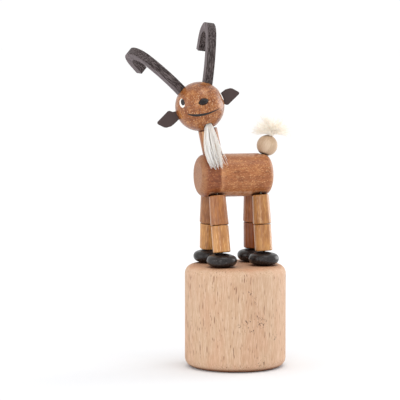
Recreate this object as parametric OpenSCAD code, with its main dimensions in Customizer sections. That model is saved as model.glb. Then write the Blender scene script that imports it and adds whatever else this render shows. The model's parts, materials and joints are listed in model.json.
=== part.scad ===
// Collapsing push-button goat: a wooden thumb toy.
// The goat stands on a turned base. Strings run from a sprung button inside the base, up through
// the hooves and legs, into the body, and on to the head and tail. Pushing the button slackens them.
// The goat faces -X, its left side is -Y, and the base stands on Z = 0.

/* [Base] */
// Diameter of the turned base
base_d = 36; // [34:0.5:42]
// Height of the base
base_h = 36.5; // [34:0.5:42]
// Rounding of the top rim
base_top_round = 3.2; // [1:0.1:3.5]
// Rounding of the foot
base_foot_round = 3.4; // [1:0.1:3.6]
// Diameter of the bore that holds the button and spring
bore_d = 26.8; // [26.8:0.1:27.4]
// Depth of the bore, from the foot up
bore_depth = 26; // [24:0.5:28]

/* [Push button] */
// Radial clearance of the button in the bore
button_gap = 0.3; // [0.2:0.05:0.5]
// Thickness of the button disc
button_t = 6; // [5:0.5:7]
// How far the button sits inside the foot
button_recess = 1.2; // [0.8:0.1:2]
// Diameter of the boss that centres the spring
boss_d = 8.4; // [7:0.1:8.6]
// Height of the boss
boss_h = 4; // [2:0.5:6]

/* [Spring] */
// Mean diameter of the coil
coil_d = 10.4; // [10.2:0.1:11]
// Diameter of the spring wire
wire_d = 0.9; // [0.6:0.1:1]
// Number of working turns
turns = 5.5; // [4:0.5:7]

/* [Strings] */
// Diameter of the string
string_d = 0.7; // [0.5:0.05:0.8]
// Diameter of a hole that holds one string
hole_d = 1; // [0.9:0.05:1.1]
// Diameter of a hole that holds two strings
pair_hole_d = 2.2; // [2.1:0.05:2.4]

/* [Hooves] */
// Diameter of a hoof bead
hoof_d = 10.7; // [9:0.1:11]
// Height of a hoof bead before its sole is flattened
hoof_h = 5.1; // [4.5:0.1:5.5]
// How much the flat sole takes off
sole_cut = 0.2; // [0.1:0.05:0.3]
// Distance of the front hooves from the middle plane
front_hoof_y = 8; // [7:0.1:8.1]
// Distance of the rear hooves from the middle plane
rear_hoof_y = 6.5; // [6.2:0.1:7.2]

/* [Legs] */
// Diameter of a shin
shin_d = 6.2; // [5.5:0.1:6.6]
// Diameter of a thigh at the hip
thigh_top_d = 5.9; // [5:0.1:6.2]
// Diameter of a thigh at the knee
thigh_knee_d = 6.5; // [5.5:0.1:6.8]
// Distance of a hip from the middle plane
hip_y = 4.8; // [4.6:0.1:5.2]
// Place of the front hips along the body
front_hip_x = -8.3; // [-9:0.1:-7.5]
// Place of the rear hips along the body
rear_hip_x = 7.8; // [7.3:0.1:8.4]
// How far each hoof stands behind its hip
leg_rake = 0.7; // [0:0.1:0.8]
// Height of the knees
knee_z = 51.1; // [50:0.1:52.5]
// Gap between the wooden pieces at the knees, hips and neck
joint_gap = 0.1; // [0.08:0.01:0.2]
// Gap above a hoof, under the slanted end of the shin
ankle_gap = 0.24; // [0.22:0.01:0.3]

/* [Body] */
// Diameter of the barrel
body_d = 15.3; // [14:0.1:17]
// Length of the barrel
body_l = 26.6; // [25:0.1:28]
// Height of the barrel's axis
body_z = 68.3; // [67:0.1:70]
// Place of the barrel's middle
body_x = -0.75; // [-1.5:0.05:0]
// Rounding of the barrel's ends
body_round = 3; // [2:0.1:4]
// Height of the hip seats below the barrel's axis
hip_seat_drop = 6.7; // [5.8:0.05:7]

/* [Neck] */
// Diameter of the neck
neck_d = 6.8; // [6:0.1:7]
// Forward lean of the neck
neck_lean = 12; // [8:0.5:16]

/* [Head] */
// Diameter of the head ball
head_d = 17.4; // [16:0.1:19]
// Place of the head's centre along the body
head_x = -13.25; // [-14:0.05:-12]
// Height of the head's centre
head_z = 92.75; // [91:0.05:94]
// Forward lean of the head's axis
head_lean = 19.6; // [15:0.1:24]
// Turn of the head about its axis, towards the goat's left
head_turn = 84; // [60:1:100]
// How far the face looks up
face_up = 18; // [5:1:25]

/* [Horns] */
// Thickness of a horn across its curve
horn_t = 3; // [2.5:0.1:3.4]
// Width of a horn in the plane of its curve
horn_w = 3.2; // [2.5:0.1:3.6]
// Radius of the long gentle arc
horn_arc_r = 39; // [30:1:50]
// Angle of the long gentle arc
horn_arc_a = 24.5; // [20:0.5:28]
// Radius of the hook
hook_r = 5.7; // [4.5:0.1:6.5]
// Angle of the hook
hook_a = 150; // [120:1:170]
// Straight length at the end of the hook
hook_end = 3.7; // [2:0.1:4.5]

/* [Ears and nose] */
// Length of an ear leaf, with its root
ear_l = 9.4; // [8:0.1:10.5]
// Width of an ear leaf
ear_w = 5.4; // [4.6:0.1:6.2]
// Thickness of the ear leather
ear_t = 1; // [0.8:0.1:1.4]
// Width of the nose bead
nose_w = 4.1; // [3:0.1:4.5]
// Height of the nose bead
nose_h = 2.6; // [2:0.1:3]

/* [Tail] */
// Diameter of the tail bead
tail_d = 7.4; // [6:0.1:8]
// Backward lean of the tail
tail_lean = 22; // [18:1:26]
// Reach of the tuft from its root
tuft_r = 8; // [6:0.1:9]

/* [Hidden] */
LEGS = ["front_left", "front_right", "rear_left", "rear_right"];
$fn = 64;
over = 1;

// Colours of the materials
beech = "#e3c19c";
leg_wood = "#c99a5c";
body_wood = "#b47a4e";
head_wood = "#c58450";
pale_wood = "#e6cfae";
lacquer = "#2b2728";
horn_wood = "#4a3f40";
leather = "#4f4547";
hair = "#eee9e0";
cord = "#d8d2c4";
steel = "#b9bcc0";

// Base and button
base_r = base_d / 2;
bore_r = bore_d / 2;
button_r = bore_r - button_gap;
button_top = button_recess + button_t;
button_round = 0.8;
spring_seat = 1;
spring_seat_r = coil_d / 2 + 1.2;
spring_top = bore_depth + spring_seat;
wire_low = button_top + wire_d / 2 + 0.02;
wire_high = spring_top - wire_d / 2 - 0.02;
end_turns = 0.75;
coils = turns + 2 * end_turns;
rings_per_turn = 16;
wire_sides = 8;
knot_r = 1;
knot_pocket_r = 1.3;
knot_pocket_h = 2.4;
knot_z = button_recess + knot_pocket_h - knot_r - 0.02;
string_r = string_d / 2;
string_reach = 0.03;

// Legs: +1 is the goat's left, which is -Y
front_hoof_x = front_hip_x + leg_rake;
rear_hoof_x = rear_hip_x + leg_rake;
hoof_top = base_h + hoof_h - sole_cut;
hip_z = body_z - hip_seat_drop;
leg_low = hoof_top + ankle_gap;
leg_high = hip_z - joint_gap;
leg_rim = 0.45;
hip_play = 0.35;
function is_front(leg) = leg[0] == "f";
function is_left(leg) = leg[len(leg) - 4] == "l";
function side(leg) = is_left(leg) ? -1 : 1;
function hoof_at(leg) = [
    is_front(leg) ? front_hoof_x : rear_hoof_x,
    side(leg) * (is_front(leg) ? front_hoof_y : rear_hoof_y)
];
function hip_at(leg) = [is_front(leg) ? front_hip_x : rear_hip_x, side(leg) * hip_y];
function low_point(leg) = [hoof_at(leg).x, hoof_at(leg).y, leg_low];
function high_point(leg) = [hip_at(leg).x, hip_at(leg).y, leg_high];
function leg_vector(leg) = high_point(leg) - low_point(leg);
function leg_length(leg) = norm(leg_vector(leg));
function shin_length(leg) = leg_length(leg) * (knee_z - leg_low) / (leg_high - leg_low) - joint_gap / 2;
function thigh_length(leg) = leg_length(leg) - joint_gap - shin_length(leg);

// Body, neck and head
body_r = body_d / 2;
body_back = body_x + body_l / 2;
head_r = head_d / 2;
facet_r = 3.4;
facet_drop = sqrt(head_r * head_r - facet_r * facet_r);
neck_gap = 0.45;
head_axis = [-sin(head_lean), 0, cos(head_lean)];
neck_axis = [-sin(neck_lean), 0, cos(neck_lean)];
head_centre = [head_x, 0, head_z];
neck_top = head_centre - (facet_drop + neck_gap) * head_axis;
neck_seat_z = 74.7;
neck_l = (neck_top.z - neck_seat_z) / neck_axis.z - joint_gap;
neck_seat = neck_top - (neck_l + joint_gap) * neck_axis;
neck_seat_r = neck_d / 2 + 0.35;
drill_out = 0.3;
pair_offset = 0.65;

// Places on the head, as longitude and latitude: 0, 0 is the middle of the face
nose_lon = 3;
nose_lat = -3;
nose_sink = 0.8;
ear_lat = -2;
ear_lon = [-91, 88];
ear_sink = [1.9, 3.3];
ear_droop = [0, 2];

// Horns: the root enters the head, and each horn is set at its own angles, right then left
horn_root = 3;
horn_sink = 0.4;
horn_start = -24;
horn_lon = [-78.5, 73.5];
horn_lat = [59.5, 49.5];
horn_splay = [32, 24.5];
horn_twist = [5, 10.5];
horn_tilt = [-5, 5];

// Beard: a tuft that hangs from a hole in the chin, clear of the neck and body
beard_lon = -4;
beard_lat = -70;
beard_hole_r = 1.6;
beard_hole_depth = 3;
beard_line = [[-11.9, -5.6, 84.6], [-11.1, -7.3, 79], [-10.2, -8.7, 72]];
beard_width = [2.8, 3.8, 4.8];
beard_thick = [2.2, 2, 1.4];

// Tail: the bead sits in a flat seat drilled into the barrel's upper rear edge
tail_r = tail_d / 2;
tail_axis = [sin(tail_lean), 0, cos(tail_lean)];
tail_seat_r = 2.4;
tail_seat_depth = 0.7;
tail_gap = 0.15;
end_ring = [body_back - body_round, 0, body_z + body_r - body_round];
tail_seat = end_ring + (body_round - tail_seat_depth) * tail_axis;
tail_centre = tail_seat + (tail_r + tail_gap) * tail_axis;
tuft_root = tail_centre + (tail_r - 0.4) * tail_axis;

// Turns +Z to point along v
module aim(v) {
    rotate([0, acos(v.z / norm(v)), atan2(v.y, v.x)]) children();
}

// A solid rod from p to q
module rod(p, q, r) {
    translate(p) aim(q - p) cylinder(r = r, h = norm(q - p), $fn = 24);
}

// A turned peg with rounded rims and a hole along its axis
module peg(r_low, r_high, h, hole_r, rim) {
    rotate_extrude() difference() {
        union() {
            polygon([
                [0, 0], [r_low - rim, 0], [r_low, rim],
                [r_high, h - rim], [r_high - rim, h], [0, h]
            ]);
            translate([r_low - rim, rim]) circle(rim, $fn = 32);
            translate([r_high - rim, h - rim]) circle(rim, $fn = 32);
        }
        translate([-over, -over]) square([hole_r + over, h + 2 * over]);
    }
}

// Half outline of a cylinder with rounded ends, standing on the X axis
module rounded_half(r, h, low, high) {
    intersection() {
        square([r, h]);
        union() {
            translate([0, low]) square([r, h - low - high]);
            square([r - low, h]);
            translate([0, h - high]) square([r - high, high]);
            translate([r - low, low]) circle(low);
            translate([r - high, h - high]) circle(high);
        }
    }
}

module each_leg() {
    for (leg = LEGS) {
        $leg = leg;
        children();
    }
}

// ---- Base, button and spring ----

module base() {
    color(beech) difference() {
        rotate_extrude($fn = 128) difference() {
            rounded_half(base_r, base_h, base_foot_round, base_top_round);
            translate([-over, -over]) square([bore_r + over, bore_depth + over]);
            translate([-over, 0]) square([spring_seat_r + over, spring_top]);
        }
        each_leg() translate([hoof_at($leg).x, hoof_at($leg).y, bore_depth - over])
            cylinder(d = hole_d, h = base_h, $fn = 24);
    }
}

module push_button() {
    color(beech) difference() {
        union() {
            translate([0, 0, button_recess])
                rotate_extrude() rounded_half(button_r, button_t, button_round, button_round);
            cylinder(d = boss_d, h = button_top + boss_h);
        }
        translate([0, 0, -over]) cylinder(r = button_r + over, h = button_recess + over);
        each_leg() translate([hoof_at($leg).x, hoof_at($leg).y, 0]) {
            cylinder(r = knot_pocket_r, h = button_recess + knot_pocket_h, $fn = 24);
            cylinder(d = hole_d, h = button_top + over, $fn = 24);
        }
    }
}

// Height of the wire's centre after t turns: flat end turns, and a steady rise between them
function rise(t) = min(max((t - end_turns) / turns, 0), 1);
function wire_z(t) = wire_low + (wire_high - wire_low) * rise(t);
function wire_point(t, k) = let (a = 360 * k / wire_sides, r = coil_d / 2 + wire_d / 2 * cos(a)) [
    r * cos(360 * t), r * sin(360 * t), wire_z(t) + wire_d / 2 * sin(a)
];

module return_spring() {
    steps = round(coils * rings_per_turn);
    points = [for (i = [0:steps]) for (k = [0:wire_sides - 1]) wire_point(i / rings_per_turn, k)];
    walls = [for (i = [0:steps - 1]) for (k = [0:wire_sides - 1]) let (
        n = (k + 1) % wire_sides, a = i * wire_sides, b = a + wire_sides
    ) each [[a + k, b + k, b + n], [a + k, b + n, a + n]]];
    start_cap = [for (k = [0:wire_sides - 1]) k];
    end_cap = [for (k = [wire_sides - 1:-1:0]) steps * wire_sides + k];
    color(steel) polyhedron(points, concat(walls, [start_cap, end_cap]));
}

// ---- Strings below the hooves ----

module string_knots() {
    color(cord) each_leg() translate([hoof_at($leg).x, hoof_at($leg).y, knot_z]) {
        sphere(knot_r, $fn = 32);
        cylinder(d = string_d, h = button_top - knot_z, $fn = 24);
    }
}

module cavity_strings() {
    color(cord) each_leg() translate([hoof_at($leg).x, hoof_at($leg).y, button_top + string_reach])
        cylinder(d = string_d, h = bore_depth - button_top - 2 * string_reach, $fn = 24);
}

module base_strings() {
    color(cord) each_leg() translate([hoof_at($leg).x, hoof_at($leg).y, bore_depth])
        cylinder(d = string_d, h = base_h - bore_depth, $fn = 24);
}

// ---- Legs ----

// Outline of a pebble: two wide arcs that run smoothly into a small round rim
module pebble_half(r, h, rim) {
    wide = (pow(r - rim, 2) + h * h / 4 - rim * rim) / (h - 2 * rim);
    hub = wide - h / 2;
    ring = r - rim;
    reach = wide / (wide - rim);
    intersection() {
        translate([0, -h]) square([2 * r, 2 * h]);
        union() {
            translate([ring, 0]) circle(rim);
            intersection() {
                translate([0, -hub]) circle(wide, $fn = 180);
                translate([0, hub]) circle(wide, $fn = 180);
                polygon([
                    [0, -h], [ring * reach, hub - hub * reach], [ring, 0],
                    [ring * reach, hub * reach - hub], [0, h]
                ]);
            }
        }
    }
}

module hoof(leg) {
    color(lacquer) translate([hoof_at(leg).x, hoof_at(leg).y, base_h]) difference() {
        translate([0, 0, hoof_h / 2 - sole_cut]) rotate_extrude() pebble_half(hoof_d / 2, hoof_h, 1.9);
        translate([-hoof_d, -hoof_d, -hoof_h]) cube([2 * hoof_d, 2 * hoof_d, hoof_h]);
        translate([0, 0, -over]) cylinder(d = hole_d, h = 2 * hoof_h, $fn = 24);
    }
}

module shin(leg) {
    color(leg_wood) translate(low_point(leg)) aim(leg_vector(leg))
        peg(shin_d / 2, shin_d / 2, shin_length(leg), hole_d / 2, leg_rim);
}

module thigh(leg) {
    color(leg_wood) translate(low_point(leg)) aim(leg_vector(leg))
        translate([0, 0, shin_length(leg) + joint_gap])
            peg(thigh_knee_d / 2, thigh_top_d / 2, thigh_length(leg), hole_d / 2, leg_rim);
}

module hoof_string(leg) {
    color(cord) translate([hoof_at(leg).x, hoof_at(leg).y, base_h])
        cylinder(d = string_d, h = hoof_h - sole_cut + string_reach, $fn = 24);
}

module leg_string(leg, start, l) {
    color(cord) translate(low_point(leg)) aim(leg_vector(leg)) translate([0, 0, start - string_reach])
        cylinder(d = string_d, h = l + 2 * string_reach, $fn = 24);
}

// ---- Body ----

// Ends of the slanted string holes, where they meet under the neck or the tail
function string_end(leg) = (is_front(leg) ? neck_seat : tail_seat) + [0, side(leg) * pair_offset, 0];
function string_start(leg) = [hip_at(leg).x, hip_at(leg).y, hip_z];

// The barrel with the seats for the thighs, the neck and the tail bead
module barrel() {
    difference() {
        translate([body_back, 0, body_z]) rotate([0, -90, 0])
            rotate_extrude($fn = 96) rounded_half(body_r, body_l, body_round, body_round);
        each_leg() translate([hip_at($leg).x, hip_at($leg).y, hip_z - 2 * body_r])
            cylinder(r = thigh_top_d / 2 + hip_play, h = 2 * body_r);
        translate(neck_seat) aim(neck_axis) cylinder(r = neck_seat_r, h = body_r);
        translate(tail_seat) aim(tail_axis) cylinder(r = tail_seat_r, h = body_r);
    }
}

// A drilled hole from a to b, run a little past both ends
module string_hole(a, b) {
    drill = (b - a) / norm(b - a);
    translate(a - drill_out * drill) aim(drill) rotate(90)
        cylinder(d = hole_d, h = norm(b - a) + 2 * drill_out, $fn = 24);
}

module body() {
    color(body_wood) difference() {
        barrel();
        each_leg() string_hole(string_start($leg), string_end($leg));
    }
}

module body_strings() {
    color(cord) each_leg() rod(string_start($leg), string_end($leg), string_r);
}

// ---- Neck and head ----

module neck() {
    color(head_wood) translate(neck_seat + joint_gap * neck_axis) aim(neck_axis)
        peg(neck_d / 2, neck_d / 2, neck_l, pair_hole_d / 2, 0.4);
}

// Two strings side by side, from z = 0 up
module string_pair(h) {
    for (s = [-1, 1]) translate([0, s * pair_offset, 0]) cylinder(d = string_d, h = h, $fn = 24);
}

module neck_strings() {
    color(cord) translate(neck_seat + (joint_gap - string_reach) * neck_axis) aim(neck_axis)
        string_pair(neck_l + string_reach);
}

module head_joint_strings() {
    color(cord) translate(head_centre) rotate([0, -head_lean, 0])
        translate([0, 0, -facet_drop - neck_gap + string_reach]) string_pair(neck_gap - 2 * string_reach);
}

module head_strings() {
    color(cord) translate(head_centre) rotate([0, -head_lean, 0])
        translate([0, 0, -facet_drop]) string_pair(head_r - 1);
}

// Moves a piece from the head's own frame, where the face looks along -X
module on_head() {
    translate(head_centre) rotate([0, -head_lean, 0]) rotate([0, 0, head_turn])
        rotate([0, face_up, 0]) children();
}

// Puts a piece on the ball: lon runs from the face towards the goat's left, lat towards its crown
module on_ball(lon, lat, out) {
    rotate([0, 0, 180 + lon]) rotate([0, -lat, 0]) translate([out, 0, 0]) children();
}

module head() {
    color(head_wood) difference() {
        translate(head_centre) sphere(head_r, $fn = 96);
        translate(head_centre) rotate([0, -head_lean, 0]) {
            translate([0, 0, -facet_drop - head_r]) cylinder(r = head_r, h = head_r);
            translate([0, 0, -head_r]) cylinder(d = pair_hole_d, h = head_r + 0.5, $fn = 24);
        }
        on_head() {
            on_ball(beard_lon, beard_lat, head_r - beard_hole_depth)
                rotate([0, 90, 0]) cylinder(r = beard_hole_r, h = 2 * beard_hole_depth, $fn = 32);
            nose_lens(0.03);
            for (s = [-1, 1]) {
                ear_leaf(s, 0.05);
                horn_shape(s, 0.04);
            }
        }
    }
}

// The nose is a lens seen from its edge, sunk into the ball
module nose_lens(grow) {
    lens_r = (nose_w * nose_w + nose_h * nose_h) / (4 * nose_h);
    on_ball(nose_lon, nose_lat, head_r - nose_sink) intersection() {
        translate([0, 0, nose_h / 2 - lens_r]) sphere(lens_r + grow);
        translate([0, 0, lens_r - nose_h / 2]) sphere(lens_r + grow);
    }
}

module nose() {
    color(lacquer) on_head() nose_lens(0);
}

// Outline of a lopsided leaf: a narrow root, a low shoulder near it, a high one further out, a point
module ear_outline() {
    w = ear_w / 2;
    polygon([
        [0, -0.45 * w], [0.3 * ear_l, -0.66 * w], [0.39 * ear_l, -0.94 * w], [0.46 * ear_l, -w],
        [0.54 * ear_l, -0.88 * w], [0.985 * ear_l, -0.2 * w], [ear_l, -0.06 * w], [0.98 * ear_l, 0.1 * w],
        [0.82 * ear_l, 0.76 * w], [0.74 * ear_l, 0.91 * w], [0.56 * ear_l, 0.97 * w],
        [0.38 * ear_l, 0.78 * w], [0, 0.24 * w]
    ]);
}

// An ear sits with its root in a slit in the ball; the two ears are flipped
module ear_leaf(s, grow) {
    i = s < 0 ? 0 : 1;
    on_ball(ear_lon[i], ear_lat, head_r - ear_sink[i]) rotate([90, 0, 0]) rotate(ear_droop[i])
        translate([0, 0, -ear_t / 2 - grow]) linear_extrude(ear_t + 2 * grow)
            scale([1, s]) offset(delta = grow) ear_outline();
}

module ear(s) {
    color(leather) on_head() ear_leaf(s, 0);
}

// A horn is a flat cane: a straight root, a long gentle arc, a tight hook and a short straight end.
// In its own plane X runs back and Y runs up; a heading is measured from up towards back.
function along(h) = [sin(h), cos(h)];
function inward(h) = [cos(h), -sin(h)];
function arc_end(p, h, r, a) = p + r * inward(h) - r * inward(h + a);

module arc_band(p, h, r, a, w) {
    centre = p + r * inward(h);
    far = 3 * r;
    n = ceil(a / 45);
    intersection() {
        translate(centre) difference() {
            circle(r + w / 2, $fn = 180);
            circle(r - w / 2, $fn = 180);
        }
        polygon([centre, for (k = [0:n]) centre - far * inward(h + a * k / n)]);
    }
}

module straight_band(p, h, l, w) {
    translate(p) rotate(-h) translate([-w / 2, 0]) square([w, l]);
}

horn_bend = arc_end([0, 0], horn_start, horn_arc_r, horn_arc_a);
hook_heading = horn_start + horn_arc_a + hook_a;
horn_turn = arc_end(horn_bend, horn_start + horn_arc_a, hook_r, hook_a);
module horn_profile(w) {
    straight_band(-horn_root * along(horn_start), horn_start, horn_root + 0.01, w);
    arc_band([0, 0], horn_start, horn_arc_r, horn_arc_a, w);
    arc_band(horn_bend, horn_start + horn_arc_a, hook_r, hook_a, w);
    straight_band(horn_turn - 0.01 * along(hook_heading), hook_heading, hook_end + 0.01, w);
}

module horn_shape(s, grow) {
    i = s < 0 ? 0 : 1;
    spot = [
        -cos(horn_lon[i]) * cos(horn_lat[i]), -sin(horn_lon[i]) * cos(horn_lat[i]), sin(horn_lat[i])
    ];
    translate((head_r - horn_sink) * spot) rotate([s * horn_splay[i], 0, 0])
        rotate([0, 0, horn_twist[i]]) rotate([0, horn_tilt[i], 0]) rotate([90, 0, 0])
        translate([0, 0, -horn_t / 2 - grow]) linear_extrude(horn_t + 2 * grow)
            horn_profile(horn_w + 2 * grow);
}

module horn(s) {
    color(horn_wood) on_head() horn_shape(s, 0);
}

module beard() {
    color(hair) for (i = [0:1]) hull() for (k = [i, i + 1])
        translate(beard_line[k]) rotate([0, 0, -18]) resize([beard_width[k], beard_thick[k], 1.2])
            sphere(1, $fn = 24);
}

// ---- Tail ----

module tail_bead() {
    color(pale_wood) difference() {
        translate(tail_centre) sphere(tail_r);
        rod(tail_centre - tail_d * tail_axis, tail_centre + tail_d * tail_axis, pair_hole_d / 2);
    }
}

module tail_strings() {
    color(cord) translate(tail_centre - (tail_r + 0.05) * tail_axis) aim(tail_axis)
        string_pair(tail_d);
}

// The tuft is a short brush of strands that opens into a wide fan
module tuft_outline() {
    intersection() {
        translate([0, -tuft_r]) square(3 * tuft_r);
        circle(tuft_r);
        polygon([[0, 0], [tuft_r * 1.5, tuft_r * 0.55], [tuft_r * 1.5, 2 * tuft_r], [0, 2 * tuft_r]]);
    }
}

module tail_tuft() {
    color(hair) translate(tuft_root + 0.6 * tail_axis) rotate([0, 4, 0]) rotate_extrude() tuft_outline();
}

base();
push_button();
return_spring();
string_knots();
cavity_strings();
base_strings();
for (leg = LEGS) {
    hoof(leg);
    shin(leg);
    thigh(leg);
    hoof_string(leg);
    leg_string(leg, 0, shin_length(leg));
    leg_string(leg, shin_length(leg) + joint_gap, thigh_length(leg));
}
body();
body_strings();
neck();
neck_strings();
head_joint_strings();
head();
head_strings();
horn(1);  // horn_left
horn(-1);  // horn_right
ear(1);  // ear_left
ear(-1);  // ear_right
nose();
beard();
tail_bead();
tail_strings();
tail_tuft();
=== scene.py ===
"""Looks of the push-button goat: wood, lacquer, leather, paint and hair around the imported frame.

Lengths are in metres, in the frame of the CAD part: the base stands on Z = 0, the goat faces -X
and its left side is -Y. Shader coordinates and the values named *_MM are in millimetres.
"""

import json
import math
import random

import bpy
from mathutils import Euler, Matrix, Vector


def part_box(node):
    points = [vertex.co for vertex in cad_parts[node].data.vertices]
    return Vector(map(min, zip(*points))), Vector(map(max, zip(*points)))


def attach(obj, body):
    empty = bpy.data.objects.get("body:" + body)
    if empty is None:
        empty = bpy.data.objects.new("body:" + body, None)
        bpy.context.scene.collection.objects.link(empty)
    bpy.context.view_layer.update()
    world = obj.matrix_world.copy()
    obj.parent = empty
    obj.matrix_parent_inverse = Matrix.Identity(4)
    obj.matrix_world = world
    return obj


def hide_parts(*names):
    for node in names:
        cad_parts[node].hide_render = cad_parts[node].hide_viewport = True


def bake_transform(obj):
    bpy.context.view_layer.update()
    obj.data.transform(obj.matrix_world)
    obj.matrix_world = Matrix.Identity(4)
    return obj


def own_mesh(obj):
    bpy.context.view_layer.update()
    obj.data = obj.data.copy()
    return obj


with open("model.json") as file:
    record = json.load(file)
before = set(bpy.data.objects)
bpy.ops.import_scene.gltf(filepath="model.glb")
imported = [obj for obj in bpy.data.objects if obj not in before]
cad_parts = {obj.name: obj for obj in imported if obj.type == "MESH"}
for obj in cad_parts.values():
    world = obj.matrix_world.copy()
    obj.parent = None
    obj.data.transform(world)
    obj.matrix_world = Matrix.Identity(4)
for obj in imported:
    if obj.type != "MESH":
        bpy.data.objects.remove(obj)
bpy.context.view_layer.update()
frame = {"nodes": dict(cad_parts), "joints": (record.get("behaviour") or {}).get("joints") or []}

MM = 0.001
LEGS = ("front_left", "front_right", "rear_left", "rear_right")
JOINTS = {joint["name"]: joint for joint in frame["joints"]}
nodes = frame["nodes"]


def middle(node):
    """The middle of a CAD node's box."""
    low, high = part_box(node)
    return (low + high) / 2


# ---------------------------------------------------------------- the head's own frame

HEAD_TURN = 84  # turn of the head about its axis, towards the goat's left
FACE_UP = 18  # how far the face looks up
head_centre = Vector(JOINTS["head_turn"]["pos_m"])
head_axis = Vector(JOINTS["head_turn"]["axis"])
head_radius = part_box("head")[1].z - head_centre.z
head_lean = math.atan2(-head_axis.x, head_axis.z)
head_frame = (
    Matrix.Translation(head_centre)
    @ Matrix.Rotation(-head_lean, 4, "Y")
    @ Matrix.Rotation(math.radians(HEAD_TURN), 4, "Z")
    @ Matrix.Rotation(math.radians(FACE_UP), 4, "Y")
)


def on_ball(lon, lat):
    """Unit direction from the head's centre: lon from the face to the goat's left, lat upwards."""
    lon, lat = math.radians(lon), math.radians(lat)
    local = Vector(
        (-math.cos(lon) * math.cos(lat), -math.sin(lon) * math.cos(lat), math.sin(lat))
    )
    return (head_frame.to_3x3() @ local).normalized()


# ---------------------------------------------------------------- shader building


class Shader:
    """A node material. Each method adds a node and returns the socket that carries its result."""

    def __init__(self, name):
        self.material = bpy.data.materials.new(name)
        self.material.use_nodes = True
        self.tree = self.material.node_tree
        self.tree.nodes.clear()

    def add(self, kind, inputs, output=0, **settings):
        node = self.tree.nodes.new(kind)
        for key, value in settings.items():
            setattr(node, key, value)
        for key, value in inputs.items():
            if isinstance(value, bpy.types.NodeSocket):
                self.tree.links.new(value, node.inputs[key])
            else:
                node.inputs[key].default_value = value
        return node.outputs[output] if node.outputs else None

    def math(self, operation, a, b=0.0, c=0.0):
        return self.add("ShaderNodeMath", {0: a, 1: b, 2: c}, operation=operation)

    def vector(self, operation, a, b=(0, 0, 0), scale=1.0, output=0):
        inputs = {0: a, 3: scale} if operation == "SCALE" else {0: a, 1: b}
        return self.add("ShaderNodeVectorMath", inputs, output, operation=operation)

    def local(self, place):
        """Coordinates in millimetres in the frame that the matrix place sets up."""
        at = self.add("ShaderNodeTexCoord", {}, "Object")
        return self.add(
            "ShaderNodeMapping",
            {
                "Vector": at,
                "Location": place.to_translation(),
                "Rotation": place.to_euler(),
                "Scale": (MM, MM, MM),
            },
            vector_type="TEXTURE",
        )

    def stretch(self, at, across, along, offset=(0, 0, 0)):
        """Coordinates for streaks that are across wide and along long, in millimetres."""
        return self.add(
            "ShaderNodeMapping",
            {
                "Vector": at,
                "Location": offset,
                "Scale": (1 / across, 1 / across, 1 / along),
            },
        )

    def noise(self, at, scale=1.0, detail=2.0, rough=0.5, twist=0.0):
        return self.add(
            "ShaderNodeTexNoise",
            {
                "Vector": at,
                "Scale": scale,
                "Detail": detail,
                "Roughness": rough,
                "Distortion": twist,
            },
        )

    def cells(self, at):
        """Distance to the nearest cell's middle, and a random value for each cell."""
        node = self.tree.nodes.new("ShaderNodeTexVoronoi")
        self.tree.links.new(at, node.inputs["Vector"])
        node.inputs["Scale"].default_value = 1
        split = self.add("ShaderNodeSeparateColor", {0: node.outputs["Color"]})
        return node.outputs["Distance"], split

    def step(self, value, low, high):
        """0 below low, 1 above high, and smooth between them. low may be above high."""
        return self.add(
            "ShaderNodeMapRange",
            {"Value": value, "From Min": low, "From Max": high},
            interpolation_type="SMOOTHSTEP",
        )

    def mix(self, factor, a, b, blend="MIX"):
        return self.add(
            "ShaderNodeMix",
            {0: factor, 6: a, 7: b},
            2,
            data_type="RGBA",
            blend_type=blend,
        )

    def ramp(self, value, *stops):
        node = self.tree.nodes.new("ShaderNodeValToRGB")
        self.tree.links.new(value, node.inputs[0])
        elements = node.color_ramp.elements
        while len(elements) < len(stops):
            elements.new(1)
        for element, (position, color) in zip(elements, stops):
            element.position = position
            element.color = rgb(color)
        return node.outputs[0]

    def gap_shade(self, reach_mm):
        """1 in the open and less in a narrow gap: the mask for shade painted into gaps."""
        return self.add(
            "ShaderNodeAmbientOcclusion",
            {"Distance": reach_mm * MM},
            "AO",
            samples=8,
        )

    def facing(self, direction):
        """How far the surface faces a direction: 1 straight at it, -1 away from it."""
        normal = self.add("ShaderNodeTexCoord", {}, "Normal")
        return self.vector("DOT_PRODUCT", normal, direction, output="Value")

    def edge(self, low, high):
        """1 on an outward edge that is sharper than high, and 0 below low."""
        return self.step(self.add("ShaderNodeNewGeometry", {}, "Pointiness"), low, high)

    def shade(self, color, tint):
        """color multiplied by a tint."""
        return self.mix(1.0, color, rgb(tint), "MULTIPLY")

    def bump(self, height, depth_mm):
        inputs = {"Height": height, "Distance": depth_mm * MM, "Strength": 1.0}
        return self.add("ShaderNodeBump", inputs)

    def finish(self, **inputs):
        """Closes the material with a Principled shader."""
        surface = self.add(
            "ShaderNodeBsdfPrincipled",
            {key.replace("_", " "): value for key, value in inputs.items()},
        )
        self.add("ShaderNodeOutputMaterial", {"Surface": surface})
        return self.material


def rgb(color):
    """Linear RGBA from an sRGB hex string."""
    channels = [int(color[i : i + 2], 16) / 255 for i in (1, 3, 5)]
    return [
        c / 12.92 if c <= 0.04045 else ((c + 0.055) / 1.055) ** 2.4 for c in channels
    ] + [1]


def aimed(point, direction):
    """A frame at point whose Z runs along direction."""
    turn = Vector(direction).to_track_quat("Z", "Y").to_matrix().to_4x4()
    return Matrix.Translation(point) @ turn


# ---------------------------------------------------------------- woods


# Three sizes of fleck: width, length and offset of their cells, the share of cells that hold one,
# and the fleck's radius in its cell
BEECH_FLECKS = (
    (0.95, 10.0, (0, 0, 0), 0.5, 0.17),
    (0.75, 6.5, (7.3, 3.1, 5.7), 0.5, 0.17),
    (0.55, 3.6, (2.9, 8.3, 1.1), 0.45, 0.18),
)


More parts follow.
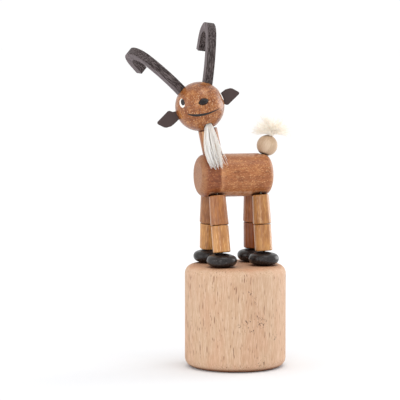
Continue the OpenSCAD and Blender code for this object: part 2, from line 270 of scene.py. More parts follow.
def turned_beech(name, place, blemishes=()):
    """Bare beech: soft bands along the axis, short dark flecks, and ragged marks at blemishes."""
    s = Shader(name)
    at = s.local(place)
    wander = s.noise(s.stretch(at, 5, 16), detail=2)
    bands = s.noise(s.stretch(at, 1.1, 22), detail=5, rough=0.62, twist=0.3)
    fibre = s.noise(s.stretch(at, 0.16, 3.2), detail=3, rough=0.6)
    color = s.ramp(
        bands, (0.25, "#cfb094"), (0.45, "#d7b99e"), (0.6, "#dbbfa6"), (0.8, "#e2c8b0")
    )
    color = s.mix(s.step(wander, 0.38, 0.68), color, s.mix(0.28, color, rgb("#d7a589")))
    color = s.mix(s.step(fibre, 0.35, 0.72), s.shade(color, "#e0d3c7"), color)
    flecks = 0.0
    bent = s.vector("ADD", at, s.vector("SCALE", s.noise(s.stretch(at, 2, 5)), scale=0.9))
    for across, along, offset, share, size in BEECH_FLECKS:
        distance, cell = s.cells(s.stretch(bent, across, along, offset))
        present = s.math("GREATER_THAN", cell, 1 - share)
        mark = s.math("MULTIPLY", s.step(distance, size + 0.05, size - 0.07), present)
        flecks = s.math("MAXIMUM", flecks, mark)
    fleck_tone = s.step(s.noise(s.stretch(at, 3, 9)), 0.3, 0.65)
    color = s.mix(
        s.math("MULTIPLY", flecks, s.math("MULTIPLY_ADD", fleck_tone, 0.5, 0.5)),
        color,
        rgb("#7f573f"),
    )
    swirl = s.add("ShaderNodeTexNoise", {"Vector": at, "Scale": 0.9, "Detail": 3.0}, 1)
    torn = s.vector("ADD", at, s.vector("SCALE", swirl, scale=2.6))
    distance, cell = s.cells(s.stretch(torn, 0.62, 1.15))
    kept = s.math("GREATER_THAN", cell, 0.45)
    ragged = s.math("MULTIPLY", s.step(distance, 0.42, 0.24), kept)
    stain = 0.0
    for point, size, strength in blemishes:
        away = s.vector("DISTANCE", at, point, output="Value")
        near = s.step(away, size, size * 0.3)
        mark = s.math("MULTIPLY", ragged, near)
        stain = s.math("MAXIMUM", stain, s.math("MULTIPLY", mark, strength))
    color = s.mix(stain, color, rgb("#3a2c24"))
    # Faces that look up are darker: partly the end grain's own tone, partly painted shade for the
    # shadow of the goat above.
    end_grain = s.step(s.facing((0, 0, 1)), 0.55, 0.95)
    color = s.mix(end_grain, color, s.shade(color, "#f3e4da"))
    # Painted shade: the wood is darker in narrow gaps, such as around the hooves on the top.
    gap = s.gap_shade(2.0)
    color = s.mix(s.step(gap, 0.15, 0.85), s.shade(color, "#a3826d"), color)
    height = s.math("SUBTRACT", s.math("MULTIPLY", fibre, 0.35), flecks)
    return s.finish(
        Base_Color=color,
        Roughness=s.math("MULTIPLY_ADD", fibre, 0.12, 0.6),
        Specular_IOR_Level=0.25,
        Normal=s.bump(height, 0.04),
    )


def stained_wood(
    name,
    place,
    tones,
    fibre_mm,
    speckle,
    coat,
    roughness,
    worn=None,
    patch=None,
    rings=0.0,
    end_grain=None,
    grain=1.0,
    tint=None,
    speckle_light="#e2b27e",
    speckle_dark="#6f4226",
):
    """Stained wood under varnish: bands, fine fibres, and pores that took more or less stain."""
    s = Shader(name)
    at = s.local(place)
    across, along = fibre_mm
    clouds = s.noise(s.stretch(at, 3.2, 6), detail=3, rough=0.55)
    bands = s.noise(s.stretch(at, 5 * across, 7 * along), detail=4, rough=0.6, twist=0.4)
    fibre = s.noise(s.stretch(at, across, along), detail=4, rough=0.65)
    blend = s.math("MULTIPLY_ADD", bands, 0.55, s.math("MULTIPLY", clouds, 0.45))
    low, middle_tone, high = tones
    color = s.ramp(blend, (0.36, low), (0.5, middle_tone), (0.64, high))
    color = s.mix(
        s.math("MULTIPLY", s.step(fibre, 0.66, 0.36), grain),
        color,
        s.shade(color, "#c9b8a8"),
    )
    light_pores, light_cell = s.cells(s.stretch(at, 1.7 * across, 0.75 * along))
    dark_pores, dark_cell = s.cells(s.stretch(at, 1.9 * across, 1.2 * along, (5.1, 2.7, 9.3)))
    light = s.math(
        "MULTIPLY", s.step(light_pores, 0.42, 0.12), s.math("GREATER_THAN", light_cell, 0.45)
    )
    dark = s.math(
        "MULTIPLY", s.step(dark_pores, 0.36, 0.1), s.math("GREATER_THAN", dark_cell, 0.5)
    )
    color = s.mix(s.math("MULTIPLY", light, speckle), color, rgb(speckle_light))
    color = s.mix(s.math("MULTIPLY", dark, speckle), color, rgb(speckle_dark))
    depth = s.add("ShaderNodeSeparateXYZ", {0: at}, "Z")
    if rings:
        layer = s.noise(s.stretch(at, 9, 0.42), detail=3, rough=0.7, twist=0.3)
        color = s.mix(
            s.math("MULTIPLY", s.step(layer, 0.53, 0.62), rings), color, rgb(speckle_dark)
        )
    if patch:
        edge, darker, lighter = patch
        wavy = s.math("MULTIPLY_ADD", s.noise(at, 0.22, 2), 2.4, depth)
        color = s.mix(
            s.step(wavy, edge, edge + 0.7), color, s.shade(color, darker)
        )
        halo = s.math("MULTIPLY", s.step(wavy, edge - 1.6, edge - 0.2), s.step(wavy, edge + 0.3, edge))
        color = s.mix(s.math("MULTIPLY", halo, 0.3), color, rgb(lighter))
    if end_grain:
        axis = place.to_3x3() @ Vector((0, 0, 1))
        along_axis = s.math("ABSOLUTE", s.facing(axis))
        spots = s.noise(s.stretch(at, 0.7, 2), detail=4, rough=0.7)
        shown = s.math("MULTIPLY", s.step(along_axis, 0.3, 0.8), s.step(spots, 0.25, 0.6))
        color = s.mix(s.math("MULTIPLY", shown, 0.45), color, rgb(end_grain))
    if worn:
        rim = s.edge(0.505, 0.56)
        rim = s.math("MULTIPLY", rim, s.step(s.noise(at, 0.9, 3), 0.3, 0.6))
        color = s.mix(s.math("MULTIPLY", rim, 0.55), color, rgb(worn))
    if tint:
        color = s.shade(color, tint)
    # Painted shade: the wood is darker in narrow gaps, such as where the legs meet the body.
    gap = s.gap_shade(1.6)
    color = s.mix(s.step(gap, 0.15, 0.8), s.shade(color, "#6b5140"), color)
    height = s.math("SUBTRACT", fibre, s.math("MULTIPLY", dark, 0.8))
    return s.finish(
        Base_Color=color,
        Roughness=s.math("MULTIPLY_ADD", fibre, 0.14, roughness - 0.07),
        Coat_Weight=coat,
        Coat_Roughness=0.22,
        Specular_IOR_Level=0.32,
        Normal=s.bump(height, 0.022),
    )


def horn_wood(name, plane_normal, place):
    """Strip wood, stained dark: lengthwise grain, and paler dry sides across the strip's plane."""
    s = Shader(name)
    at = s.local(place)
    streaks = s.noise(s.stretch(at, 0.4, 9), detail=3, rough=0.6, twist=0.1)
    fibre = s.noise(s.stretch(at, 0.24, 2.6), detail=4, rough=0.72)
    dry = s.noise(s.stretch(at, 3, 9), detail=2, rough=0.5)
    flat = s.math("ABSOLUTE", s.facing(plane_normal))
    face = s.ramp(streaks, (0.36, "#1c1414"), (0.5, "#271c1b"), (0.66, "#352928"))
    side = s.ramp(streaks, (0.3, "#463c3e"), (0.5, "#5d5254"), (0.7, "#75696c"))
    color = s.mix(s.step(flat, 0.55, 0.75), face, side)
    near_hook = s.step(s.vector("LENGTH", at, output="Value"), 12, 24)
    scuffed = s.math("MULTIPLY", s.step(fibre, 0.5, 0.62), s.step(dry, 0.2, 0.7))
    scuffed = s.math("MULTIPLY", scuffed, s.math("MULTIPLY_ADD", near_hook, 0.4, 0.06))
    color = s.mix(scuffed, color, rgb("#8d8283"))
    lines = s.step(fibre, 0.5, 0.36)
    color = s.mix(s.math("MULTIPLY", lines, 0.5), color, s.shade(color, "#7d7270"))
    rim = s.edge(0.51, 0.58)
    chips = s.math("MULTIPLY", s.step(fibre, 0.42, 0.62), 0.3)
    color = s.mix(s.math("MULTIPLY", rim, chips), color, rgb("#a89c9c"))
    return s.finish(
        Base_Color=color,
        Roughness=s.math("MULTIPLY_ADD", dry, 0.2, 0.5),
        Specular_IOR_Level=0.15,
        Normal=s.bump(fibre, 0.05),
    )


def lacquer(name, roughness, dusty, coat):
    """Dipped black lacquer with a slight pull over the wood below, and dust in the film."""
    s = Shader(name)
    at = s.local(Matrix())
    pull = s.noise(at, 0.45, 3, 0.6)
    dust = s.noise(at, 2.6, 3, 0.75)
    color = s.ramp(s.noise(at, 0.8, 4, 0.7), (0.35, "#110c0b"), (0.65, "#211918"))
    color = s.mix(s.math("MULTIPLY", s.step(dust, 0.56, 0.7), dusty), color, rgb("#8f8583"))
    return s.finish(
        Base_Color=color,
        Roughness=s.math("MULTIPLY_ADD", dust, 0.2, roughness - 0.1),
        Specular_IOR_Level=0.25,
        Coat_Weight=coat,
        Coat_Roughness=0.14,
        Normal=s.bump(s.math("MULTIPLY_ADD", dust, 0.25, pull), 0.06),
    )


def ear_leather():
    """Thin dark leather: fine grain cells, and a lighter cut edge."""
    s = Shader("ear_leather")
    at = s.local(Matrix())
    distance, cell = s.cells(s.stretch(at, 0.28, 0.28))
    clouds = s.noise(at, 0.6, 3)
    color = s.ramp(clouds, (0.3, "#211a1b"), (0.7, "#2d2526"))
    color = s.mix(s.math("MULTIPLY", cell, 0.22), color, rgb("#463b3c"))
    rim = s.edge(0.52, 0.6)
    color = s.mix(s.math("MULTIPLY", rim, 0.4), color, rgb("#6a5b58"))
    return s.finish(
        Base_Color=color,
        Roughness=0.75,
        Specular_IOR_Level=0.08,
        Normal=s.bump(s.math("SUBTRACT", 1.0, distance), 0.03),
    )


def cord_fibre():
    """Twisted cotton cord: a fine slanting twist and loose fibres."""
    s = Shader("cord_fibre")
    at = s.local(Matrix())
    twist = s.noise(s.stretch(at, 0.12, 0.5), detail=3, twist=1.5)
    color = s.ramp(twist, (0.35, "#b8ac98"), (0.65, "#e2dac9"))
    # Painted shade: the cord turns nearly black where it runs into a narrow gap.
    color = s.mix(s.step(s.gap_shade(4.0), 0.45, 0.97), rgb("#2b1d13"), color)
    return s.finish(
        Base_Color=color, Roughness=0.9, Specular_IOR_Level=0.1, Normal=s.bump(twist, 0.05)
    )


def strand_hair(name, root, tip, roughness, uneven=0.55, glow=0.0):
    """Loose strands, each with its own tone, lighter from root to tip: the darker roots are painted
    shade.

    glow stands in for the light that fine strands pass on to each other.
    """
    s = Shader(name)
    tone = s.add("ShaderNodeAttribute", {}, "Fac", attribute_name="strand_tone")
    along = s.add("ShaderNodeAttribute", {}, "Fac", attribute_name="strand_along")
    # Painted shade: a strand is darker at its root than at its tip.
    color = s.mix(along, rgb(root), rgb(tip))
    color = s.mix(s.math("MULTIPLY", tone, uneven), color, s.shade(color, "#b5a795"))
    fine = s.noise(s.local(Matrix()), 6, 2)
    return s.finish(
        Base_Color=s.mix(s.math("MULTIPLY", fine, 0.12), color, rgb("#ffffff")),
        Roughness=roughness,
        Specular_IOR_Level=0.3,
        Subsurface_Weight=0.25,
        Subsurface_Radius=(0.6, 0.5, 0.4),
        Subsurface_Scale=0.4 * MM,
        Sheen_Weight=0.2,
        Emission_Color=rgb(tip),
        Emission_Strength=glow,
    )


def paint(name, color, worn):
    """Brushed enamel: thin at its worn places, with a low gloss."""
    s = Shader(name)
    at = s.local(Matrix())
    body = s.noise(at, 1.2, 3)
    return s.finish(
        Base_Color=s.ramp(body, (0.3, color), (0.75, worn)),
        Roughness=s.math("MULTIPLY_ADD", s.noise(at, 2.5, 2), 0.15, 0.25),
        Coat_Weight=0.12,
        Coat_Roughness=0.15,
        Specular_IOR_Level=0.3,
        Normal=s.bump(body, 0.03),
    )


def spring_steel():
    """Drawn wire with fine lengthwise marks."""
    s = Shader("spring_steel")
    marks = s.noise(s.local(Matrix()), 3.0, 4, 0.7)
    return s.finish(
        Base_Color=s.ramp(marks, (0.3, "#8b8d90"), (0.7, "#c3c5c8")),
        Metallic=1.0,
        Roughness=s.math("MULTIPLY_ADD", marks, 0.2, 0.22),
    )


def wear(material, *names):
    """Gives CAD nodes a material."""
    for name in names:
        mesh = nodes[name].data
        mesh.materials.clear()
        mesh.materials.append(material)


# Marks on the base: place around the axis from +X, height, size and strength
BASE_MARKS_MM = (
    (-101, 15.8, 2.4, 0.85),
    (-93, 17.9, 2.2, 0.95),
    (-88.5, 16.2, 2.6, 1.0),
    (-83, 19.2, 1.8, 0.8),
    (-76, 17.6, 2.8, 0.9),
    (-69, 17.0, 1.8, 0.8),
    (-92, 28.0, 2.2, 0.7),
    (-84.5, 25.6, 2.0, 0.7),
    (-57, 12.0, 2.2, 0.85),
    (-78, 3.4, 3.4, 0.9),
    (-135, 29.2, 1.4, 0.7),
)
base_radius_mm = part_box("base")[1].x / MM
base_marks = [
    (
        (
            base_radius_mm * math.cos(math.radians(turn)),
            base_radius_mm * math.sin(math.radians(turn)),
            height,
        ),
        size,
        strength,
    )
    for turn, height, size, strength in BASE_MARKS_MM
]
wear(turned_beech("bare_beech", Matrix(), base_marks), "base")
wear(turned_beech("button_beech", aimed(Vector(), (1, 0, 0))), "push_button")

leg_tones = ("#b47a3e", "#ce9450", "#e0ac68")
LEG_TINTS_AND_SHADE = {  # each piece took its own stain; the tints are also partly painted light and shade: shins lighter than thighs, the far rear leg darkest
    "shin_front_left": "#f8f3ee",
    "thigh_front_left": "#d0b69c",
    "shin_rear_left": "#ebe3da",
    "thigh_rear_left": "#e2d9ce",
    "shin_front_right": "#f7f5f2",
    "thigh_front_right": "#c4b0a0",
    "shin_rear_right": "#b0855a",
    "thigh_rear_right": "#c9a994",
}
for leg in LEGS:
    foot, hip = Vector(JOINTS["ankle_" + leg]["pos_m"]), middle("thigh_" + leg)
    up = aimed(foot, middle("thigh_" + leg) - middle("shin_" + leg))
    for piece in ("shin_", "thigh_"):
        wood = stained_wood(
            piece + leg + "_wood",
            up,
            leg_tones,
            fibre_mm=(0.2, 3.4),
            speckle=0.6,
            grain=0.75,
            coat=0.6,
            roughness=0.36,
            worn="#dcb27c",
            tint=LEG_TINTS_AND_SHADE[piece + leg],
            speckle_light="#e8bc84",
            speckle_dark="#7c4c25",
        )
        wear(wood, piece + leg)

STAIN_EDGE_MM = 7.5  # the front of the body, from its middle, took more stain
body_frame = aimed(middle("body"), (-1, 0, 0))
wear(
    stained_wood(
        "body_wood",
        body_frame,
        ("#955932", "#b17043", "#c58956"),
        fibre_mm=(0.2, 0.9),
        speckle=0.85,
        coat=0.2,
        roughness=0.5,
        worn="#c9a184",
        patch=(STAIN_EDGE_MM, "#d3bcae", "#d99f72"),
        end_grain="#b08254",
    ),
    "body",
)
head_woods = dict(
    tones=("#7a3f18", "#a3612c", "#c98b50"),
    coat=0.4,
    roughness=0.38,
    speckle_light="#e2b98d",
    speckle_dark="#74401f",
)
wear(
    stained_wood(
        "head_wood",
        aimed(head_centre, head_axis),
        fibre_mm=(0.2, 1.3),
        speckle=0.85,
        rings=0.8,
        **head_woods,
    ),
    "head",
)
wear(
    stained_wood(
        "neck_wood",
        aimed(middle("neck"), (-0.2, 0, 1)),
        fibre_mm=(0.18, 3),
        speckle=0.35,
        worn="#d7a878",
        **head_woods,
    ),
    "neck",
)
wear(
    stained_wood(
        "pale_wood",
        aimed(middle("tail_bead"), (0.37, 0, 0.93)),
        ("#bfa488", "#cab095", "#d6bfa6"),
        fibre_mm=(0.4, 4),
        speckle=0.08,
        grain=0.25,
        coat=0.0,
        roughness=0.6,
        speckle_light="#f1e0ca",
        speckle_dark="#c09c76",
    ),
    "tail_bead",
)

# Each horn lies in a plane of its own; its frame follows the part's angles, right then left
HORN_LON_LAT = {"right": (-78.5, 59.5), "left": (73.5, 49.5)}
HORN_SET = {"right": (-32, 5, -5), "left": (24.5, 10.5, 5)}  # splay, twist and tilt
for side, (splay, twist, tilt) in HORN_SET.items():
    root = head_centre + head_radius * on_ball(*HORN_LON_LAT[side])
    plane = (
        head_frame.to_3x3()
        @ Matrix.Rotation(math.radians(splay), 3, "X")
        @ Matrix.Rotation(math.radians(twist), 3, "Z")
        @ Matrix.Rotation(math.radians(tilt), 3, "Y")
    )
    normal = plane @ Vector((0, -1, 0))
    run = plane @ Vector((-0.2, 0, 1))
    wear(
        horn_wood("horn_wood_" + side, normal, aimed(root, run)),
        "horn_" + side,
    )

wear(lacquer("hoof_lacquer", 0.34, 0.4, 0.22), *["hoof_" + leg for leg in LEGS])
wear(lacquer("nose_lacquer", 0.18, 0.0, 0.1), "nose")
wear(ear_leather(), "ear_left", "ear_right")
cord = cord_fibre()
wear(cord, *[name for name in nodes if "string" in name])
steel = spring_steel()
wear(steel, "return_spring")


# ---------------------------------------------------------------- meshes


def new_mesh(name, points, faces, material):
    """A smooth-shaded mesh in the scene."""
    mesh = bpy.data.meshes.new(name)
    mesh.from_pydata([tuple(p) for p in points], [], faces)
    mesh.validate()
    mesh.polygons.foreach_set("use_smooth", [True] * len(mesh.polygons))
    mesh.materials.append(material)
    piece = bpy.data.objects.new(name, mesh)
    bpy.context.scene.collection.objects.link(piece)
    return piece


def tube_rings(path, radii, sides):
    """Rings of points around a path, turned as little as possible from ring to ring."""
    rings, across = [], None
    for i, point in enumerate(path):
        ahead = path[min(i + 1, len(path) - 1)] - path[max(i - 1, 0)]
        ahead.normalize()
        if across is None:
            across = ahead.orthogonal()
        across = (across - across.dot(ahead) * ahead).normalized()
        other = ahead.cross(across)
        rings.append(
            [
                point
                + radii[i] * (math.cos(a) * across + math.sin(a) * other)
                for a in (math.tau * k / sides for k in range(sides))
            ]
        )
    return rings


def tube(path, radii, sides, start=0):
    """Points and faces of a closed tube; faces count from start."""
    rings = tube_rings(path, radii, sides)
    points = [p for ring in rings for p in ring]
    faces = []
    for i in range(len(rings) - 1):
        for k in range(sides):
            a, b = start + i * sides + k, start + i * sides + (k + 1) % sides
            faces.append((a, b, b + sides, a + sides))
    last = start + (len(rings) - 1) * sides
    faces.append(tuple(start + k for k in reversed(range(sides))))
    faces.append(tuple(last + k for k in range(sides)))
    return points, faces


def brush(name, strands, material, sides=5):
    """One mesh of many tapered strands. A strand is its path, its radius and its tone."""
    points, faces, tones, alongs = [], [], [], []
    for path, radius, tone in strands:
        count = len(path)
        radii = [radius * (1 - 0.75 * (i / (count - 1)) ** 3) for i in range(count)]
        new_points, new_faces = tube(path, radii, sides, len(points))
        points += new_points
        faces += new_faces
        tones += [tone] * len(new_points)
        alongs += [i / (count - 1) for i in range(count) for _ in range(sides)]
    piece = new_mesh(name, points, faces, material)
    for attribute, values in (("strand_tone", tones), ("strand_along", alongs)):
        data = piece.data.attributes.new(attribute, "FLOAT", "POINT")
        data.data.foreach_set("value", values)
    return piece


def bezier(a, b, c, d, steps):
    """Points of a cubic curve."""
    points = []
    for i in range(steps + 1):
        t = i / steps
        u = 1 - t
        points.append(u**3 * a + 3 * u * u * t * b + 3 * u * t * t * c + t**3 * d)
    return points


# ---- The beard: coarse bristles that leave the chin's hole and hang in front of the neck

BEARD_LON_LAT = (-4, -70)
BEARD_CLUMPS = 15
BEARD_STRANDS = 310
BEARD_STEPS = 9
BRISTLE_R_MM = (0.09, 0.16)
STRAY_EVERY = 11
TINTED_EVERY = 16
random.seed(11)
beard_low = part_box("beard")[0]
chin = head_centre + (head_radius - 2.2 * MM) * on_ball(*BEARD_LON_LAT)
beard_out = on_ball(*BEARD_LON_LAT)
lowest = [v.co for v in nodes["beard"].data.vertices if v.co.z < beard_low.z + 0.3 * MM]
beard_tip = sum(lowest, Vector()) / len(lowest)
beard_across = Vector((0.95, -0.31, 0))
beard_deep = Vector((0.31, 0.95, 0))
chin += 0.3 * MM * beard_across


def jitter(amount_mm):
    return Vector([random.gauss(0, amount_mm * MM) for _ in range(3)])


clumps = [
    (
        -1 + 2 * (k + random.uniform(0.2, 0.8)) / BEARD_CLUMPS,
        random.uniform(-1, 1),
        random.triangular(0.84, 1.05, 0.98),
    )
    for k in range(BEARD_CLUMPS)
]
strands, tinted = [], []
for i in range(BEARD_STRANDS):
    clump_x, clump_y, clump_reach = clumps[i % BEARD_CLUMPS]
    x = clump_x + random.gauss(0, 0.2)
    y = clump_y + random.gauss(0, 0.3)
    reach = clump_reach * random.triangular(0.82, 1.03, 1.0)
    root = chin + 0.85 * MM * (0.9 * x * beard_across + 0.8 * y * beard_deep)
    tip = chin.lerp(beard_tip, reach)
    tip += (0.6 + 2.0 * clump_x) * MM * beard_across + 0.7 * MM * clump_y * beard_deep + jitter(0.2)
    knee = root + 2.4 * MM * (beard_out + Vector((0, -0.5, -0.1)))
    bend = root.lerp(tip, 0.55) + (2.3 * x - 0.7) * MM * beard_across + jitter(0.32)
    if i % STRAY_EVERY == 3:  # a few stray bristles
        tip += random.uniform(0.3, 2.2) * MM * beard_across
        tip += random.uniform(0, 1.5) * MM * Vector((0, 0, 1))
    path = bezier(root, knee, bend, tip, BEARD_STEPS)
    strand = (path, random.uniform(*BRISTLE_R_MM) * MM, random.random())
    (tinted if i % TINTED_EVERY == 5 else strands).append(strand)
bristle = strand_hair("white_bristle", "#ece5de", "#fdfbf8", 0.45, glow=0.02)
beard = brush("beard_bristles", strands, bristle)
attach(beard, "head")
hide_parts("beard")
dull_bristle = strand_hair("tinted_bristle", "#b99c86", "#c7a88e", 0.5)
tinted_beard = brush("beard_tinted_bristles", tinted, dull_bristle)
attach(tinted_beard, "head")

# ---- The tail's tuft: fine wool that fans out from the top of the bead

TUFT_STRANDS = 1150
TUFT_CLUMPS = 90
TUFT_STEPS = 8
WOOL_R_MM = (0.05, 0.095)
TAIL_LEAN = 22  # lean of the tail bead's hole
TUFT_OPEN = 86  # half angle of the fan
TUFT_BACK = 4  # lean of the fan's middle
random.seed(23)
tail_centre = Vector(JOINTS["tail_flop"]["pos_m"])
tail_axis = Vector((math.sin(math.radians(TAIL_LEAN)), 0, math.cos(math.radians(TAIL_LEAN))))
tail_radius = (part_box("tail_bead")[1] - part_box("tail_bead")[0]).y / 2
tuft_length = (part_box("tail_tuft")[1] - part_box("tail_tuft")[0]).y / 2
fan = math.radians(TUFT_BACK)
fan_frame = aimed(Vector(), (math.sin(fan), 0, math.cos(fan))).to_3x3()
fan_up = fan_frame @ Vector((0, 0, 1))
tuft_root = tail_centre + (tail_radius - 0.9 * MM) * tail_axis
strands = []
tufts = [
    (random.uniform(0, math.tau), random.random() ** 0.45, random.triangular(0.86, 1.2, 1.1))
    for _ in range(TUFT_CLUMPS)
]
for i in range(TUFT_STRANDS):
    turn, share, clump_reach = tufts[i % TUFT_CLUMPS]
    turn += random.gauss(0, 0.13)
    share = min(max(share + random.gauss(0, 0.045), 0), 1)
    lean = math.radians(TUFT_OPEN) * share
    reach = tuft_length * clump_reach * random.triangular(0.7, 1.04, 0.98)
    out = fan_frame @ Vector((math.cos(turn), math.sin(turn), 0))
    root = tuft_root + 0.75 * MM * share * out
    tip = tuft_root + 0.8 * MM * tail_axis
    tip += reach * (math.sin(lean) * out + math.cos(lean) * fan_up) + jitter(0.3)
    rise = root + (0.9 * MM + 0.2 * reach) * tail_axis + 0.1 * reach * fan_up
    bend = root.lerp(tip, 0.6) + 0.16 * reach * fan_up + jitter(0.35)
    path = bezier(root, rise, bend, tip, TUFT_STEPS)
    strands.append((path, random.uniform(*WOOL_R_MM) * MM, random.random()))
wool = strand_hair("cream_wool", "#fef3e4", "#fffaf0", 0.7, uneven=0.35, glow=0.11)
tuft = brush("tail_wool", strands, wool, sides=4)
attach(tuft, "tail")
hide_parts("tail_tuft")


# ---- The spring and the cords inside the base, as meshes of one length; in the toy they shorten as the button goes in

BORE_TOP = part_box("cavity_strings")[1].z
WIRE_D = 0.9 * MM
WIRE_SIDES = 14
WIRE_STEPS = 40  # rings in one turn of the spring
SPRING_TURNS = 5.5
END_TURNS = 0.75
CORD_R = 0.35 * MM
CORD_SIDES = 12
CAVITY_STEPS = 8
BRIDGE_STEPS = 24
BRIDGE_THINNER = 0.01 * MM  # a bridge is this much inside the cord that it joins
NECK_LEAN = math.radians(12)


def spring_piece():
    low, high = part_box("return_spring")
    coil = (high.x - low.x - WIRE_D) / 2
    first, last = low.z + WIRE_D / 2, high.z - WIRE_D / 2
    steps = round((SPRING_TURNS + 2 * END_TURNS) * WIRE_STEPS)
    path = []
    for i in range(steps + 1):
        turn = i / WIRE_STEPS
        rise = min(max((turn - END_TURNS) / SPRING_TURNS, 0), 1)
        angle = math.tau * turn
        height = first + (last - first) * rise
        path.append(Vector((coil * math.cos(angle), coil * math.sin(angle), height)))
    points, faces = tube(path, [WIRE_D / 2] * len(path), WIRE_SIDES)
    piece = new_mesh("spring_coil", points, faces, steel)
    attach(piece, "base")
    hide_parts("return_spring")
    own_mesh(piece)


def cords(name, paths, radius=CORD_R):
    """One mesh of several lengths of cord."""
    points, faces = [], []
    for path in paths:
        new_points, new_faces = tube(path, [radius] * len(path), CORD_SIDES, len(points))
        points += new_points
        faces += new_faces
    piece = new_mesh(name, points, faces, cord)
    return piece


def cavity_cords():
    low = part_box("cavity_strings")[0].z
    paths = []
    for leg in LEGS:
        foot = middle("hoof_string_" + leg)
        heights = [low + (BORE_TOP - low) * i / CAVITY_STEPS for i in range(CAVITY_STEPS + 1)]
        paths.append([Vector((foot.x, foot.y, height)) for height in heights])
    piece = cords("cavity_cords", paths)
    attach(piece, "base")
    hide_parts("cavity_strings")
    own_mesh(piece)


def bridge(name, at, along, inside=(1.6, 1.6), offsets=(Vector(),)):
    """Cord that crosses the gap between two bodies, and reaches a little into both."""
    back, ahead = inside[0] * MM, inside[1] * MM
    places = [-back + (back + ahead) * i / BRIDGE_STEPS for i in range(BRIDGE_STEPS + 1)]
    path = [at + place * along for place in places]
    piece = cords(name, [[p + o for p in path] for o in offsets], CORD_R - BRIDGE_THINNER)
    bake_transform(piece)


def cord_bridges():
    up = Vector((0, 0, 1))
    for leg in LEGS:
        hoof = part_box("hoof_string_" + leg)
        ankle = Vector((*middle("hoof_string_" + leg).xy, hoof[1].z))
        bridge("ankle_cord_" + leg, ankle, up)
        shin, thigh = middle("shin_string_" + leg), middle("thigh_string_" + leg)
        along = (thigh - shin).normalized()
        height = (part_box("shin_string_" + leg)[1].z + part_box("thigh_string_" + leg)[0].z) / 2
        knee = shin + along * (height - shin.z) / along.z
        bridge("knee_cord_" + leg, knee, along)
        if leg == "front_left":
            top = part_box("thigh_string_" + leg)[1].z
            hip = thigh + along * (top - thigh.z) / along.z
            bridge("hip_cord_" + leg, hip, along)
    low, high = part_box("neck_strings")
    side = Vector((0, high.y - CORD_R, 0))
    neck = (low + high) / 2
    along = Vector((-math.sin(NECK_LEAN), 0, math.cos(NECK_LEAN)))
    reach = (high.z - low.z - 2 * CORD_R * math.sin(NECK_LEAN)) / 2 / along.z
    pair = (side, -side)
    bridge("neck_cords", neck - reach * along, along, (0.9, 1.6), pair)
    bridge("head_cords", neck + reach * along, along, (1.6, 0.5), pair)


spring_piece()
cavity_cords()
cord_bridges()

# ---- Painted face: thin films of enamel that follow the ball

FILM_MM = 0.09
PUPIL_LIFT_MM = FILM_MM + 0.08
EDGE_SINK_MM = 0.03  # a film's rim runs this far into the wood
FILM_SIDES = 64
FILM_RINGS = 8


def film(name, outline, material, lift_mm=FILM_MM):
    """A film over the ball. outline gives lon and lat: of a turn on its rim, or of its middle."""
    centre = outline(None)
    points = [head_centre + (head_radius + lift_mm * MM) * on_ball(*centre)]
    for ring in range(1, FILM_RINGS + 1):
        share = ring / FILM_RINGS
        lift = lift_mm * (1 - share**6) - EDGE_SINK_MM * (ring == FILM_RINGS)
        for k in range(FILM_SIDES):
            lon, lat = outline(math.tau * k / FILM_SIDES)
            lon, lat = centre[0] + share * (lon - centre[0]), centre[1] + share * (lat - centre[1])
            points.append(head_centre + (head_radius + lift * MM) * on_ball(lon, lat))
    faces = [(0, 1 + k, 1 + (k + 1) % FILM_SIDES) for k in range(FILM_SIDES)]
    for ring in range(FILM_RINGS - 1):
        a = 1 + ring * FILM_SIDES
        for k in range(FILM_SIDES):
            n = (k + 1) % FILM_SIDES
            faces.append((a + k, a + FILM_SIDES + k, a + FILM_SIDES + n, a + n))
    piece = new_mesh(name, points, faces, material)
    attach(piece, "head")


def oval(lon, lat, wide, high, lean):
    """Outline of an oval, sized in millimetres on the ball and leaned by an angle."""
    per_mm = math.degrees(MM / head_radius)
    lean = math.radians(lean)

    def outline(turn):
        if turn is None:
            return lon, lat
        x, y = wide / 2 * math.cos(turn), high / 2 * math.sin(turn)
        x, y = x * math.cos(lean) - y * math.sin(lean), x * math.sin(lean) + y * math.cos(lean)
        return lon + x * per_mm / math.cos(math.radians(lat)), lat + y * per_mm

    return outline


# The eyes: lon and lat of the white and of the pupil
EYES = {"right": ((-49.5, 15.5), (-46.5, 16)), "left": ((73, 3), (76, 3.5))}
WHITE_MM = (2.5, 3.7)
PUPIL_MM = (1.8, 2.8)
EYE_LEAN = 12
eye_white = paint("eye_white", "#fbf8f4", "#e9e2da")
enamel = paint("black_enamel", "#171313", "#2e2625")
for side, (white, pupil) in EYES.items():
    film("eye_white_" + side, oval(*white, *WHITE_MM, EYE_LEAN), eye_white)
    film("eye_pupil_" + side, oval(*pupil, *PUPIL_MM, EYE_LEAN), enamel, PUPIL_LIFT_MM)

# The mouth is one brush stroke along a curve: the lon and lat of its ends and of its two handles
MOUTH_CURVE = ((-45, -14), (-28, -31), (4, -38), (44, -28))
MOUTH_HALF_MM = 0.57
MOUTH_STEPS = 72
MOUTH_LANES = 6


def mouth_half(t):
    """Half width at share t of the stroke: pressed hardest early, and thinner at both ends."""
    swell = max(math.sin(math.pi * t), 0) ** 0.6 * (1.2 - 0.75 * t)
    return max(MOUTH_HALF_MM * swell, 0.03) * MM


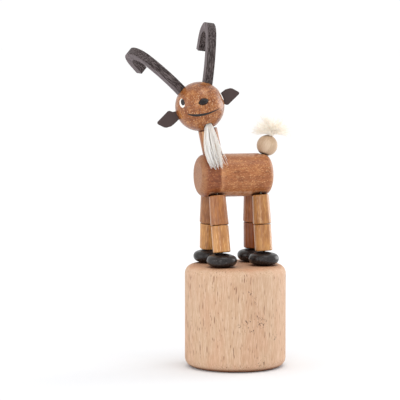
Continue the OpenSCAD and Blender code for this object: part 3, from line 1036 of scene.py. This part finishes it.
def mouth_film():
    steps, lanes = MOUTH_STEPS, MOUTH_LANES
    curve = bezier(*[Vector(point) for point in MOUTH_CURVE], steps)
    centres = [on_ball(*point) for point in curve]
    points = []
    for i, centre in enumerate(centres):
        ahead = centres[min(i + 1, steps)] - centres[max(i - 1, 0)]
        across = centre.cross(ahead).normalized()
        half = mouth_half(i / steps)
        for k in range(lanes + 1):
            share = 2 * k / lanes - 1
            lift = (FILM_MM * (1 - share**4) - EDGE_SINK_MM * (abs(share) == 1)) * MM
            out = (head_radius * centre + share * half * across).normalized()
            points.append(head_centre + (head_radius + lift) * out)
    faces = []
    for i in range(steps):
        for k in range(lanes):
            a = i * (lanes + 1) + k
            faces.append((a, a + 1, a + lanes + 2, a + lanes + 1))
    mouth = new_mesh("mouth", points, faces, enamel)
    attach(mouth, "head")


mouth_film()

# ---------------------------------------------------------------- stage, light and camera

VIEW_AZIMUTH = -18.15  # camera's place around the goat, from straight in front of its left side
VIEW_DISTANCE = 0.7  # from the base's axis
VIEW_HEIGHT = 0.1157
VIEW_TURN = 1.03  # the camera looks this far to the left of the base's axis
VIEW_DROP = 4.6  # and this far below level
LENS_MM = 177.76
SENSOR_MM = 36

WORLD_LIGHT = 1.03  # a white room: the far floor and the backdrop run together
FLOOR_REACH = 30.0
FLOOR_FADE_MM = (120, 700)
FLOOR_NEAR = "#e8e9eb"
LIGHT_AIM = (0, 0, 0.07)
LIGHTS = (  # name, place, size, watts and tint
    ("right_box", (0.8, 0.18, 0.2), 0.6, 3.3, "#ffffff"),
    ("left_box", (-0.75, -0.1, 0.22), 0.5, 0.8, "#ffffff"),
    ("top_box", (0.1, -0.25, 0.85), 0.4, 1.1, "#ffffff"),
    ("key", (-0.4, -0.75, 0.5), 0.16, 0.6, "#fffdf8"),
    ("spark", (-0.45, -0.7, 0.16), 0.08, 0.35, "#ffffff"),
)


def pale_floor():
    """A wide sheet of white paper, a little greyer near the goat so that its shadow shows."""
    s = Shader("floor_paper")
    at = s.local(Matrix())
    tooth = s.noise(at, 0.02, 4)
    far = s.step(s.vector("LENGTH", at, output="Value"), *FLOOR_FADE_MM)
    far_paper = s.ramp(tooth, (0.3, "#fcfcfc"), (0.7, "#fefefe"))
    paper = s.finish(
        Base_Color=s.mix(far, rgb(FLOOR_NEAR), far_paper),
        Roughness=0.9,
        Specular_IOR_Level=0.1,
    )
    corners = [(-1, -1), (1, -1), (1, 1), (-1, 1)]
    points = [Vector((FLOOR_REACH * x, FLOOR_REACH * y, 0)) for x, y in corners]
    floor = new_mesh("floor", points, [(0, 1, 2, 3)], paper)


def area_light(name, place, size, watts, tint):
    light = bpy.data.lights.new(name, "AREA")
    light.shape = "DISK"
    light.size = size
    light.energy = watts
    light.color = rgb(tint)[:3]
    lamp = bpy.data.objects.new(name, light)
    lamp.location = place
    lamp.rotation_euler = (Vector(LIGHT_AIM) - Vector(place)).to_track_quat("-Z", "Y").to_euler()
    bpy.context.scene.collection.objects.link(lamp)


def studio():
    world = bpy.data.worlds.new("studio")
    world.use_nodes = True
    background = world.node_tree.nodes["Background"]
    background.inputs["Color"].default_value = (1.0, 1.0, 1.0, 1)
    background.inputs["Strength"].default_value = WORLD_LIGHT
    bpy.context.scene.world = world
    for light in LIGHTS:
        area_light(*light)
    view = bpy.context.scene.view_settings
    view.view_transform = "Standard"
    view.look = "None"


def camera():
    lens = bpy.data.cameras.new("camera")
    lens.lens = LENS_MM
    lens.sensor_width = SENSOR_MM
    lens.clip_end = 50
    eye = bpy.data.objects.new("camera", lens)
    azimuth = math.radians(VIEW_AZIMUTH)
    eye.location = (
        VIEW_DISTANCE * math.sin(azimuth),
        -VIEW_DISTANCE * math.cos(azimuth),
        VIEW_HEIGHT,
    )
    eye.rotation_euler = Euler(
        (math.radians(90 - VIEW_DROP), 0, azimuth + math.radians(VIEW_TURN)), "XYZ"
    )
    bpy.context.scene.collection.objects.link(eye)
    bpy.context.scene.camera = eye


pale_floor()
studio()
camera()
